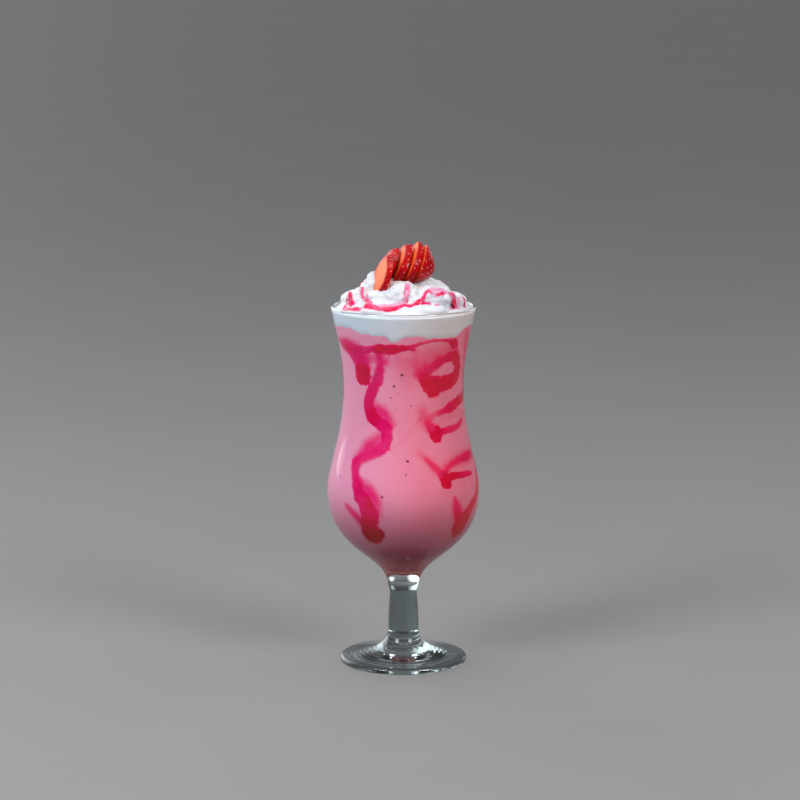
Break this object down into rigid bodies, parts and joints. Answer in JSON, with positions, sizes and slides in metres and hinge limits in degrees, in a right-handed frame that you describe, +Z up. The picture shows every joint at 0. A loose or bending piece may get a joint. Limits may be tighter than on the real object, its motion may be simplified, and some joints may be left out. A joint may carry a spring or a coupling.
{
  "type": "strawberry milkshake",
  "caption": "Strawberry milkshake in a footed tulip glass, streaked with sauce inside the wall and topped with whipped cream, sauce and a sliced, fanned strawberry.",
  "frame": {"origin": "on the table under the middle of the glass's foot", "axes": "+Z up along the glass's axis, -Y towards the front shown in the picture, +X to the front's right"},
  "size_m": [0.08, 0.08, 0.2231],
  "materials": {
    "glass": "clear, polished",
    "milkshake": "smooth, opaque liquid",
    "whipped_cream": "soft, satin",
    "sauce": "glossy syrup",
    "strawberry": "moist fruit"
  },
  "bodies": {
    "root": {"glass": "glass", "shake": "milkshake", "cream": "whipped_cream", "sauce_left": "sauce", "sauce_loop": "sauce", "sauce_hook": "sauce", "sauce_drop": "sauce", "sauce_right": "sauce", "sauce_left_edge": "sauce", "sauce_back_left": "sauce", "sauce_back_middle": "sauce", "sauce_back_right": "sauce", "strawberry_slice_1": "strawberry", "strawberry_slice_2": "strawberry", "strawberry_slice_3": "strawberry", "strawberry_slice_4": "strawberry", "strawberry_slice_5": "strawberry"}
  },
  "joints": []
}
